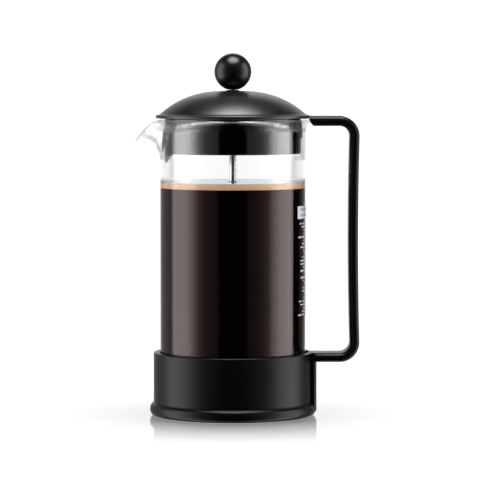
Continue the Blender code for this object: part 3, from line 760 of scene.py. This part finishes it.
gap = calc(tree, "LESS_THAN", chance(tree, 0.0, 1.0, given["Seed"], index), GAP_SHARE)
blank = chance(tree, 0.0, 1.0, calc(tree, "ADD", given["Seed"], 1.0), row)
blank = calc(tree, "LESS_THAN", blank, given["Blank Rows"])
empty = calc(tree, "MAXIMUM", past_end, calc(tree, "MAXIMUM", gap, blank))
values = {"Geometry": points, "Selection": empty}
kept = add(tree, "GeometryNodeDeleteGeometry", values).outputs[0]
bar_width = calc(tree, "MULTIPLY", given["Column Pitch"], BAR_SHARE)
bar_size = xyz(tree, given["Ink"], bar_width, given["Bar Height"])
bar = add(tree, "GeometryNodeMeshCube", {"Size": bar_size}).outputs[0]
parts = parts_of(tree, add(tree, "GeometryNodeInputPosition").outputs[0])
facing = xyz(tree, z=calc(tree, "ARCTAN2", parts[1], parts[0]))
scale = xyz(tree, 1.0, 1.0, chance(tree, SHORTEST_BAR, 1.0, given["Seed"]))
values = {"Points": kept, "Instance": bar, "Rotation": facing, "Scale": scale}
bars = add(tree, "GeometryNodeInstanceOnPoints", values).outputs[0]
end_tree(tree, bars, given["Material"])
rows_tree = tree

INK = 0.05
ink_low = BEAKER_RADIUS + 0.02              # just clear of the glass
ink_radius = BEAKER_RADIUS + INK / 2.0 + 0.02
notes = grow("printed_notes", bpy.data.meshes.new("notes"), rows_tree, {
    "Rows": 28, "Columns": 42, "Radius": ink_radius * MM, "Top": 127.3 * MM, "Row Pitch": 2.22 * MM,
    "Column Pitch": 1.12 * MM, "Bar Height": 1.45 * MM, "Ink": INK * MM, "Seed": 7, "Material": ink_white})
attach(notes, "root")
report(notes)

# %% Header patch
PATCH_LOW, PATCH_TOP, PATCH_HALF_ANGLE = 130.5, 138.8, 28.0
patch = solid("printed_patch", arc_block(ink_low, ink_low + INK, PATCH_HALF_ANGLE, PATCH_LOW, PATCH_TOP, 28),
              ink_white)
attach(patch, "root")
words = grow("printed_header", bpy.data.meshes.new("header"), rows_tree, {
    "Rows": 2, "Columns": 20, "Radius": (ink_radius + INK) * MM, "Top": 136.5 * MM, "Row Pitch": 3.7 * MM,
    "Column Pitch": 2.1 * MM, "Bar Height": 2.2 * MM, "Ink": INK * MM, "Shortest Row": 0.9,
    "Blank Rows": 0.0, "Seed": 12, "Material": ink_grey})
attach(words, "root")

# %% [markdown]
# ## The base
# One turned cup with a bead round its foot. Underneath, a hub and four ribs carry the deck that the
# beaker stands on. The dovetail slot and the shallow recess take the handle's foot.

# %% Turn and cut the base
BASE_RADIUS = 52.4
outline = filleted([(0.0, 0.0, 0), (9.0, 0.0, 0.4), (9.6, 12.5, 0.5), (49.6, 12.5, 0.5), (50.0, 0.0, 0.4),
                    (53.0, 0.0, 0)])
outline += arc((52.6, 4.0), (2.3, 3.8), -70.0, 72.0, 16)
outline += curve_through([(53.0, 7.85), (52.4, 8.05), (52.15, 8.35), (52.35, 8.9), (BASE_RADIUS, 9.6)], 3)
outline += filleted([(BASE_RADIUS, 20.0, 0), (BASE_RADIUS, BASE_TOP, 0.7), (48.5, BASE_TOP, 0.7),
                     (48.5, 38.9, 0.3), (49.4, 38.3, 0.3), (49.4, 15.7, 1.8), (0.0, 15.7, 0)])
base = turned("base_cup", outline, satin_black)

rib = filleted([(8.4, -1.2, 0), (50.4, -1.2, 0), (50.4, 1.2, 0), (8.4, 1.2, 0)])
rib = solid("rib", upright(rib, 3.0, 14.0), satin_black)
combine(base, ring_of("ribs", rib, 4), "UNION")


def dovetail(inner, outer, half_width, low, high):
    """A block that widens inwards, along the handle's side of the base."""
    corners = []
    for x, side in ((inner, -1), (outer, -1), (outer, 1), (inner, 1)):
        corners.append((x, side * (half_width + (BASE_RADIUS - x) * 0.4)))
    return upright(corners, low, high)


combine(base, solid("slot", dovetail(47.8, 53.4, 6.3, 5.7, BASE_TOP + 3.0), satin_black), "DIFFERENCE")
combine(base, solid("recess", arc_block(52.42, 58.0, 10.31, 2.7, BASE_TOP + 3.0), satin_black), "DIFFERENCE")
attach(base, "root")
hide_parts("base_holder")
report(base)

# %% [markdown]
# ## The handle
# The strap is a rounded rectangle carried along its centre line: out from the rim, round a corner, down
# a grip that bows slightly towards the beaker, and back to the base. The foot plate and its dovetail key
# are joined on, and the rim's own shape is cut out of its upper end, which makes the clip's mouth.

# %% Sweep the strap
STRAP_WIDTH, STRAP_EDGE = 23.0, 2.9
ARM_TOP, ARM_LOW = (194.3, 6.6), (38.5, 6.0)      # centre height, thickness
GRIP_TOP_X, GRIP_LOW_X, GRIP_BOW = 80.1, 80.3, 0.95
BEND = 9.9


def strap_line():
    """Centre line (x, z) from the clip to the foot."""
    line = [(50.2, ARM_TOP[0]), (56.0, ARM_TOP[0]), (63.0, ARM_TOP[0])]
    line += arc((GRIP_TOP_X - BEND, ARM_TOP[0] - BEND), (BEND, BEND), 90.0, 0.0, 14)
    high, low = ARM_TOP[0] - BEND, ARM_LOW[0] + BEND
    for i in range(1, 24):
        share = i / 24.0
        x = GRIP_TOP_X + (GRIP_LOW_X - GRIP_TOP_X) * share - GRIP_BOW * 4.0 * share * (1.0 - share)
        line.append((x, high + (low - high) * share))
    line += arc((GRIP_LOW_X - BEND, low), (BEND, BEND), 0.0, -90.0, 14)
    return line + [(62.0, ARM_LOW[0]), (54.0, ARM_LOW[0])]


line = strap_line()
rings = []
for i, (x, z) in enumerate(line):
    before, after = line[max(i - 1, 0)], line[min(i + 1, len(line) - 1)]
    along = Vector((after[0] - before[0], after[1] - before[1])).normalized()
    share = i / (len(line) - 1)
    half = (ARM_TOP[1] + (ARM_LOW[1] - ARM_TOP[1]) * share) / 2.0
    side = STRAP_WIDTH / 2.0
    corners = [(half, -side), (half, side), (-half, side), (-half, -side)]
    section = filleted([(*corner, STRAP_EDGE) for corner in corners], 6)
    rings.append([(x - along.y * u, v, z + along.x * u) for u, v in section])
handle = solid("strap_handle", lofted(rings, capped=True), satin_black)

# %% Add the foot and cut the clip's mouth
FOOT_INNER, FOOT_OUTER, FOOT_HALF_ANGLE, FOOT_EDGE = 52.75, 55.4, 10.0, 2.2
foot_top = ARM_LOW[0] + ARM_LOW[1] / 2.0
half = math.radians(FOOT_HALF_ANGLE) * FOOT_OUTER
flat = [(FOOT_INNER, half * (1.0 - i / 8.0)) for i in range(17)]
flat += arc((FOOT_OUTER - FOOT_EDGE, FOOT_EDGE - half), (FOOT_EDGE, FOOT_EDGE), -90.0, 0.0, 8)
flat += [(FOOT_OUTER, (half - FOOT_EDGE) * i / 8.0) for i in range(-7, 8)]
flat += arc((FOOT_OUTER - FOOT_EDGE, half - FOOT_EDGE), (FOOT_EDGE, FOOT_EDGE), 0.0, 90.0, 8)
seen = [(radius * math.cos(along / FOOT_OUTER), radius * math.sin(along / FOOT_OUTER))
        for radius, along in flat]
foot = upright(seen, 3.0, foot_top)
combine(handle, solid("foot", foot, satin_black), "UNION")
combine(handle, solid("key", dovetail(49.75, 54.0, 6.0, 6.0, foot_top - 0.2), satin_black), "UNION")
mouth = [(0.0, 187.0), (56.3, 187.0), (53.6, 191.5), (51.9, 194.2), (51.9, 195.65),
         (LID_REACH + 0.35, 195.65), (LID_REACH + 0.35, 200.0), (0.0, 200.0)]
combine(handle, turned("mouth", mouth, satin_black), "DIFFERENCE")
soften(handle, 0.3, 2, 35.0)
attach(handle, "root")
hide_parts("handle")
report(handle)

# %% [markdown]
# ## The lid
# The dome is a power curve, flatter on top than a ball and still sloping where it meets the flat rim,
# so the overhead panel shows in it as one soft streak that ends at the rim.
# The strainer is lofted, because its skirt reaches lower as a tongue under the beak; its pouring slots
# are one rounded cutter repeated by the ring tree.

# %% Dome
def dome_height(radius, widest, low, rise, fullness):
    """Height of the dome over a radius."""
    return low + rise * (1.0 - (radius / widest) ** fullness)


RIM_TOP, SOCKET = 198.35, 45.6
DOME = (48.0, 198.9, 15.3, 2.75)            # widest, low, rise and fullness of the outside
HOLLOW = (45.9, 198.1, 13.9, 3.0)           # and of the inside
outline = filleted([(SOCKET, LID_LOW, 0.3), (LID_REACH, LID_LOW, 1.0), (LID_REACH, RIM_TOP, 1.1),
                    (49.6, RIM_TOP, 0)], 6)[:-1]
outline += [(49.3, RIM_TOP), (48.8, 198.45), (48.3, 198.72)]
outside = [DOME[0] - 0.05 * k * k for k in range(3, 30)]
outline += [(radius, dome_height(radius, *DOME)) for radius in outside]
outline += [(4.7, 214.2), (4.4, 214.0)]
inside = [4.4 + 1.55 * k for k in range(26)] + [45.1]
outline += [(radius, dome_height(radius, *HOLLOW)) for radius in inside] + [(SOCKET, 198.0)]
dome = turned("lid_shell", outline, lid_black, 240)
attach(dome, "lid")
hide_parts("lid_dome")
report(dome)

# %% Strainer
SKIRT, SKIRT_WALL, SKIRT_LOW = 45.0, 1.6, 172.8
TONGUE_HALF_ANGLE, TONGUE_DROP = 34.0, 6.2


def strainer_outline(degrees):
    """The insert's section at an angle."""
    low = SKIRT_LOW - TONGUE_DROP * bell(off_beak(degrees), TONGUE_HALF_ANGLE)
    inner = SKIRT - SKIRT_WALL
    return filleted([(SKIRT, low, 0.5), (SKIRT, 197.2, 0.6), (44.0, 197.8, 0), (9.0, 201.5, 0.6),
                     (7.9, 202.4, 0.3), (7.5, 209.9, 0.3), (4.4, 209.9, 0), (4.4, 199.8, 0),
                     (9.0, 199.7, 0.5), (inner - 0.6, 196.1, 0.5), (inner, 195.5, 0), (inner, low, 0.5)], 3)


sections = [placed(strainer_outline(i * 1.5), i * 1.5) for i in range(240)]
strainer = solid("lid_skirt", lofted(sections), polished_black)
SLOTS, SLOT_STEP = 11, 5.2
slot_corners = [(-0.9, 173.3), (0.9, 173.3), (0.9, 191.0), (-0.9, 191.0)]
slot_shape = filleted([(*corner, 0.85) for corner in slot_corners], 4)
cutter = lofted([[(x, y, z) for y, z in slot_shape] for x in (42.0, 47.0)], capped=True)
cutter = solid("slot", cutter, polished_black)
first = 180.0 - SLOTS // 2 * SLOT_STEP
combine(strainer, ring_of("slots", cutter, SLOTS, first, SLOT_STEP), "DIFFERENCE")
combine(strainer, solid("pad", arc_block(44.2, 45.8, 11.0, 183.0, 194.5), polished_black), "UNION")
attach(strainer, "lid")
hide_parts("lid_strainer")
report(strainer)

# %% Bush
outline = filleted([(2.5, 198.5, 0.3), (4.0, 198.5, 0.3), (4.0, 210.2, 0), (7.2, 210.2, 0.2),
                    (7.2, 211.5, 0.2), (4.0, 211.5, 0), (4.0, 214.7, 0.3), (2.5, 214.7, 0.3)], 3)
bush = turned("rod_guide", outline, bearing_black, 64)
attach(bush, "bush")
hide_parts("rod_bush")

# %% [markdown]
# ## The plunger
# Knob, rod and filter pack. The filter only shows when the plunger is lifted out, and then it is the
# most worked piece of the press: a perforated plate, a ring of coiled wire, a woven screen and a
# pierced plate under it.

# %% Knob and rod
KNOB_RADIUS, KNOB_CENTRE, KNOB_FLAT = 12.2, 226.6, 215.0
foot_angle = math.degrees(math.asin((KNOB_FLAT + 0.15 - KNOB_CENTRE) / KNOB_RADIUS))
outline = [(0.0, 228.0), (3.0, 228.0), (3.0, KNOB_FLAT + 0.15), (3.2, KNOB_FLAT)]
outline += arc((0.0, KNOB_CENTRE), (KNOB_RADIUS, KNOB_RADIUS), foot_angle, 90.0, 56)[:-1]
outline += [(0.0, KNOB_CENTRE + KNOB_RADIUS)]
knob = turned("knob_ball", outline, knob_black, 120)
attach(knob, "plunger")
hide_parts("knob")

outline = filleted([(0.0, ROD_LOW, 0), (1.7, ROD_LOW, 0.4), (1.7, 28.2, 0), (2.2, 28.2, 0.15),
                    (2.2, 217.2, 0.3), (1.7, 217.2, 0), (1.7, ROD_TOP, 0.4), (0.0, ROD_TOP, 0)], 3)
rod = turned("rod", outline, rod_steel, 64)
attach(rod, "plunger")
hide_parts("plunger_rod")

# %% [markdown]
# ## The rim spring
# The spring is a long coil of thin wire closed into a ring. A tree bends a circle of points into that
# path: the point's index gives both its place round the ring and its turn round the coil.

# %% Coil the rim spring
tree, given = start_tree("coiled ring", [
    ("Ring Radius", "Float", 0.0432), ("Coil Radius", "Float", 0.00145), ("Height", "Float", 0.0293),
    ("Wire Radius", "Float", 0.0003), ("Turns", "Int", 120), ("Points Per Turn", "Int", 12),
    ("Material", "Material", None)])
total = calc(tree, "MULTIPLY", given["Turns"], given["Points Per Turn"])
loop = add(tree, "GeometryNodeMeshCircle", {"Vertices": total}).outputs[0]
index = add(tree, "GeometryNodeInputIndex").outputs[0]
round_ring = calc(tree, "MULTIPLY", calc(tree, "DIVIDE", index, total), math.tau)
round_coil = calc(tree, "MULTIPLY", round_ring, given["Turns"])
coil_radius = given["Coil Radius"]
cosine, sine = [calc(tree, kind, round_coil) for kind in ("COSINE", "SINE")]
out = calc(tree, "MULTIPLY_ADD", cosine, coil_radius, given["Ring Radius"])
up = calc(tree, "MULTIPLY_ADD", sine, coil_radius, given["Height"])
position = polar(tree, out, round_ring, up)
loop = add(tree, "GeometryNodeSetPosition", {"Geometry": loop, "Position": position}).outputs[0]
path = add(tree, "GeometryNodeMeshToCurve", {"Mesh": loop}).outputs[0]
values = {"Resolution": 8, "Radius": given["Wire Radius"]}
wire = add(tree, "GeometryNodeCurvePrimitiveCircle", values).outputs[0]
coil = add(tree, "GeometryNodeCurveToMesh", {"Curve": path, "Profile Curve": wire}).outputs[0]
coil = add(tree, "GeometryNodeSetShadeSmooth", {"Geometry": coil}).outputs[0]
end_tree(tree, coil, given["Material"])
coil_tree = tree

spring_middle = (SPRING_LOW + SPRING_TOP) / 2.0
spring = grow("spring_coil", bpy.data.meshes.new("coil"), coil_tree, {
    "Ring Radius": (SPRING_REACH - 1.75) * MM, "Coil Radius": 1.42 * MM, "Height": spring_middle * MM,
    "Wire Radius": 0.32 * MM, "Turns": 120, "Points Per Turn": 12, "Material": spring_steel})
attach(spring, "plunger")
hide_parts("rim_spring")
report(spring)


# %% Plates and screen
def punch(piece, ring_radius, hole_radius, count, low, high):
    """Punch a ring of round holes through a plate."""
    step = 360.0 / count
    turns = [math.tau * k / 32 for k in range(32)]
    hole = [(ring_radius + hole_radius * math.cos(a), hole_radius * math.sin(a)) for a in turns]
    shape = solid("hole", upright(hole, low - 2.0, high + 2.0), piece.data.materials[0])
    combine(piece, ring_of("holes", shape, count, step / 2.0), "DIFFERENCE")


def dish(reach_out, low, lip, wall, corner, rim, inside):
    """Outline of a plate with a turned-up edge."""
    inner = reach_out - wall
    return filleted([(2.0, low, 0.1), (reach_out, low, corner), (reach_out, lip, rim), (inner, lip, rim),
                     (inner, low + wall, inside), (2.0, low + wall, 0.1)], 4)


outline = dish(PLATE_REACH, PLATE_LOW, PLATE_LIP, 0.8, 0.5, 0.3, 0.4)
spiral = turned("perforated_plate", outline, plate_steel)
punch(spiral, 31.0, 4.0, 16, PLATE_LOW, PLATE_LIP)
punch(spiral, 18.0, 3.4, 9, PLATE_LOW, PLATE_LIP)
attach(spiral, "plunger")
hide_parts("spiral_plate")
report(spiral)

outline = dish(MESH_REACH, MESH_LOW, MESH_TOP, 0.5, 1.2, 0.24, 0.8)
screen = turned("woven_screen", outline, screen_steel)
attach(screen, "plunger")
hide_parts("filter_mesh")

outline = filleted([(2.0, CROSS_LOW, 0.1), (CROSS_REACH, CROSS_LOW, 0.45), (CROSS_REACH, CROSS_TOP, 0.45),
                    (2.0, CROSS_TOP, 0.1)], 4)
cross = turned("pierced_plate", outline, plate_steel)
punch(cross, 25.0, 9.5, 6, CROSS_LOW, CROSS_TOP)
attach(cross, "plunger")
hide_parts("cross_plate")

# %% Collar and nut
outline = filleted([(2.5, 28.3, 0.15), (6.5, 28.3, 0.3), (6.5, 29.9, 0.4), (2.5, 29.9, 0.15)], 4)
collar = turned("collar", outline, plate_steel, 72)
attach(collar, "plunger")
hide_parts("rod_collar")

outline = filleted([(2.0, 20.4, 0.2), (5.0, 20.4, 0.5), (5.0, 24.7, 0.5), (2.0, 24.7, 0.2)], 4)
nut = turned("hex_nut", outline, plate_steel, 6)
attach(nut, "plunger")
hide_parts("cross_plate_nut")

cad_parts["knob_insert"].data.materials.clear()
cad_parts["knob_insert"].data.materials.append(brass)

# %% [markdown]
# ## The studio
# The press stands on a white table before a white backdrop, between two tall soft panels, with a third
# panel overhead and nothing but a dark room behind the camera. The panels are painted in the world as a
# brightness for each compass direction, so that their soft inner edges and sharp outer ones come for
# free. What is seen directly, or through the glass, is plain white.

# %% World: panels by direction
PANELS = [(-180, 1.03), (-171, 1.03), (-166, 0.55), (-158, 0.45), (-150, 0.3), (-117, 0.3), (-112, 0.8),
          (-107, 2.6), (-100, 2.6), (-88, 3.1), (-77, 3.0), (-70, 2.2), (-64, 1.35), (-55, 0.5),
          (-45, 0.2), (-23.5, 0.1), (-22.0, 0.005), (22.0, 0.005), (23.5, 0.09), (35, 0.13), (47, 0.2),
          (58, 0.45), (69, 1.9), (80, 3.0), (100, 3.2), (107, 2.4), (112, 0.6), (118, 0.14),
          (142, 0.1), (155, 0.35), (171, 1.03), (180, 1.03)]
BRIGHTEST = 3.4
WHITE = 1.12                                # the table and the backdrop, seen directly
IN_GLASS, BACK_ANGLE = 0.9, 150.0           # level inside a glass wall, within so much of the back
FILL_SHARE, FILL_LEAST = 1.35, 0.22         # how the room lights matt surfaces
world = bpy.data.worlds.new("studio")
bpy.context.scene.world = world
world.use_nodes = True
tree = world.node_tree
tree.nodes.clear()
direction = add(tree, "ShaderNodeTexCoord").outputs["Generated"]
parts = parts_of(tree, direction)
compass = calc(tree, "ARCTAN2", parts[0], calc(tree, "MULTIPLY", parts[1], -1.0))
share = calc(tree, "MULTIPLY_ADD", compass, 1.0 / math.tau, 0.5)
ramp = add(tree, "ShaderNodeValToRGB", {"Fac": share})
stops = ramp.color_ramp.elements
for place, (degrees, level) in enumerate(PANELS):
    stop = stops[place] if place < 2 else stops.new(degrees / 360.0 + 0.5)
    stop.position = degrees / 360.0 + 0.5
    stop.color = (level / BRIGHTEST,) * 3 + (1.0,)
below_top = spread(tree, parts[2], 1.0, 0.02, 0.5, 0.68, interpolation_type="SMOOTHSTEP")
level = calc(tree, "MULTIPLY", calc(tree, "MULTIPLY", ramp.outputs[0], BRIGHTEST), below_top)
# Light that went round inside one glass wall comes out as bright as the white behind it, except
# towards the panels, which the coffee mirrors through that same wall.
path, seen = seen_directly(tree)
inside = calc(tree, "MULTIPLY", calc(tree, "GREATER_THAN", path["Transmission Depth"], 0.5),
              calc(tree, "LESS_THAN", path["Transmission Depth"], 3.5))
away = calc(tree, "GREATER_THAN", calc(tree, "ABSOLUTE", compass), math.radians(BACK_ANGLE))
level = between(tree, calc(tree, "MULTIPLY", inside, away), level, IN_GLASS)
soft = calc(tree, "GREATER_THAN", path["Diffuse Depth"], 0.5)
level = between(tree, soft, level, calc(tree, "MULTIPLY_ADD", level, FILL_SHARE, FILL_LEAST))
strength = between(tree, seen, level, WHITE)
background = add(tree, "ShaderNodeBackground", {"Color": (1.0, 1.0, 1.0, 1.0), "Strength": strength})
add(tree, "ShaderNodeOutputWorld", {"Surface": background.outputs[0]})

# %% Overhead panel
panel = bpy.data.lights.new("overhead", "AREA")
panel.shape = "DISK"
panel.size = 1.25
panel.energy = 43.0
overhead = bpy.data.objects.new("overhead", panel)
bpy.context.scene.collection.objects.link(overhead)
overhead.location = (0.06, -0.32, 1.7)
overhead.rotation_euler = (math.radians(-10.0), 0.0, 0.0)
overhead.visible_camera = False
overhead.visible_transmission = False

# %% [markdown]
# The table is white and only mirrors what stands close on it: the mirror fades with distance from the
# press, and with how steeply one looks down. Mirrored light passes through it, as the dark room does
# not show a table edge in the press.

# %% Floor
MIRROR_FULL, MIRROR_END = 0.055, 0.195      # metres from the axis
floor_white = bpy.data.materials.new("floor_white")
floor_white.use_nodes = True
tree = floor_white.node_tree
tree.nodes.clear()
flat = times(tree, object_place(tree), (1.0, 1.0, 0.0))
distance = add(tree, "ShaderNodeVectorMath", {0: flat}, operation="LENGTH").outputs["Value"]
near = calc(tree, "POWER", spread(tree, distance, 1.0, 0.0, MIRROR_FULL, MIRROR_END), 1.5)
gloss = calc(tree, "POWER", add(tree, "ShaderNodeLayerWeight", {"Blend": 0.5}).outputs["Facing"], 1.6)
mirror = calc(tree, "MULTIPLY", near, gloss)
plain = add(tree, "ShaderNodeEmission", {"Color": (1.0, 1.0, 1.0, 1.0), "Strength": WHITE})
shine = add(tree, "ShaderNodeBsdfGlossy", {"Roughness": 0.05})
table = add(tree, "ShaderNodeMixShader", {0: mirror, 1: plain.outputs[0], 2: shine.outputs[0]})
_, seen = seen_directly(tree)
clear = add(tree, "ShaderNodeBsdfTransparent")
shown = add(tree, "ShaderNodeMixShader", {0: seen, 1: clear.outputs[0], 2: table.outputs[0]})
add(tree, "ShaderNodeOutputMaterial", {"Surface": shown.outputs[0]})
sheet = bmesh.new()
bmesh.ops.create_grid(sheet, x_segments=8, y_segments=8, size=6000.0)
floor = solid("floor", sheet, floor_white, outward=False)
floor.location.z = -0.0002

# %% [markdown]
# ## The camera
# A long lens from two metres, about level with the knob: the lid's rim is nearly a line and the base's
# rims are thin ellipses.

# %% Camera and colour
TARGET = Vector((0.0047, 0.0, 0.1156))
CAMERA = Vector((0.0047, -2.05, 0.2300))
FRAME_WIDTH = 0.3172                     # metres across the picture, at the press
camera_data = bpy.data.cameras.new("camera")
camera_data.sensor_width = 36.0
camera_data.lens = 36.0 * (CAMERA - TARGET).length / FRAME_WIDTH
camera_data.clip_end = 50.0
camera = bpy.data.objects.new("camera", camera_data)
bpy.context.scene.collection.objects.link(camera)
camera.location = CAMERA
camera.rotation_euler = (TARGET - CAMERA).to_track_quat("-Z", "Y").to_euler()
bpy.context.scene.camera = camera
bpy.context.scene.view_settings.view_transform = "Standard"
bpy.context.scene.view_settings.look = "None"
bpy.context.scene.cycles.use_denoising = True
bpy.context.scene.cycles.transmission_bounces = 16
bpy.context.scene.cycles.max_bounces = 20
print("lens", round(camera_data.lens, 1), "mm")
